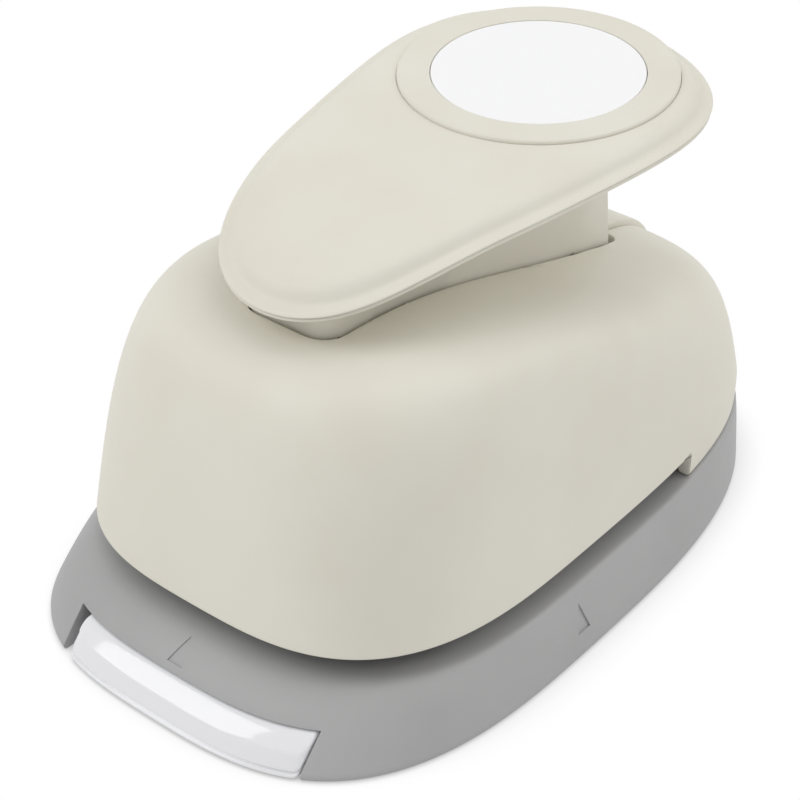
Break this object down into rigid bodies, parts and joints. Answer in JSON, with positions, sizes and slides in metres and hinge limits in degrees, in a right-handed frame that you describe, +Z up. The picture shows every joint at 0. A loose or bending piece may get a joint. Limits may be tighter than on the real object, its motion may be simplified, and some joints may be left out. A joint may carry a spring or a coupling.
{
  "type": "circle craft punch",
  "caption": "Desk lever punch with a domed plastic cover on a wide grey base, a paddle lever with a round sample disc, a round steel blade that cuts paper discs, and a clear chip tray.",
  "frame": {"origin": "middle of the footprint on the table, at the bottom of the base rim", "axes": "+Z up, -Y front where the paper goes in and the clear tray shows, +X right"},
  "size_m": [0.08, 0.124, 0.0712],
  "materials": {
    "cream_plastic": "warm off-white satin moulded ABS",
    "grey_plastic": "mid grey satin moulded ABS",
    "clear_plastic": "clear moulded polystyrene",
    "white_plastic": "plain white card-like disc",
    "nylon": "natural nylon",
    "steel": "bright plated or ground steel",
    "black_casting": "black painted zinc casting"
  },
  "bodies": {
    "base": {"base_shell": "grey_plastic", "rear_spine": "cream_plastic", "cover_shell": "cream_plastic", "die_plate": "steel", "paper_stop": "steel", "guide_plate": "steel", "pivot_frame": "black_casting", "pivot_pin": "steel", "plate_rivet_left": "steel", "pin_clip_left": "steel", "frame_screw_left": "steel", "front_cover_screw_left": "steel", "rear_cover_screw_left": "steel", "plate_rivet_right": "steel", "pin_clip_right": "steel", "frame_screw_right": "steel", "front_cover_screw_right": "steel", "rear_cover_screw_right": "steel", "spine_screw": "steel", "die_screw_left_front": "steel", "guide_post_left_front": "steel", "return_spring_left_front": "steel", "die_screw_left_rear": "steel", "guide_post_left_rear": "steel", "return_spring_left_rear": "steel", "die_screw_right_front": "steel", "guide_post_right_front": "steel", "return_spring_right_front": "steel", "die_screw_right_rear": "steel", "guide_post_right_rear": "steel", "return_spring_right_rear": "steel"},
    "punch": {"punch_blade": "steel", "punch_carrier": "black_casting", "wear_plate": "steel", "blade_screw_1": "steel", "blade_screw_2": "steel", "blade_screw_3": "steel"},
    "lever": {"lever_top": "cream_plastic", "lever_body": "cream_plastic", "sample_ring": "cream_plastic", "sample_disc": "white_plastic", "roller_pin": "steel", "pivot_bush_left": "nylon", "pivot_bush_right": "nylon"},
    "roller": {"press_roller": "steel"},
    "tray": {"chip_tray": "clear_plastic"}
  },
  "joints": [
    {"name": "lever_pivot", "type": "hinge", "parent": "base", "child": "lever", "pos_m": [0, -0.025, 0.044], "axis": [-1, 0, 0], "range_deg": [0, 17]},
    {"name": "punch_slide", "type": "slide", "parent": "base", "child": "punch", "axis": [0, 0, -1], "range_m": [0, 0.00445], "stiffness_N_per_m": 2280, "springref_m": -0.002, "deforming": ["return_spring_left_front", "return_spring_left_rear", "return_spring_right_front", "return_spring_right_rear"]},
    {"name": "roller_spin", "type": "hinge", "parent": "lever", "child": "roller", "pos_m": [0, -0.01017, 0.04622], "axis": [1, 0, 0], "continuous": true},
    {"name": "tray_hinge", "type": "hinge", "parent": "base", "child": "tray", "pos_m": [0, 0.052, 0.0039], "axis": [1, 0, 0], "range_deg": [0, 75]}
  ],
  "couplings": [
    {"joint": "lever_pivot", "follows": "punch_slide", "rad_per_m": 66.667}
  ]
}
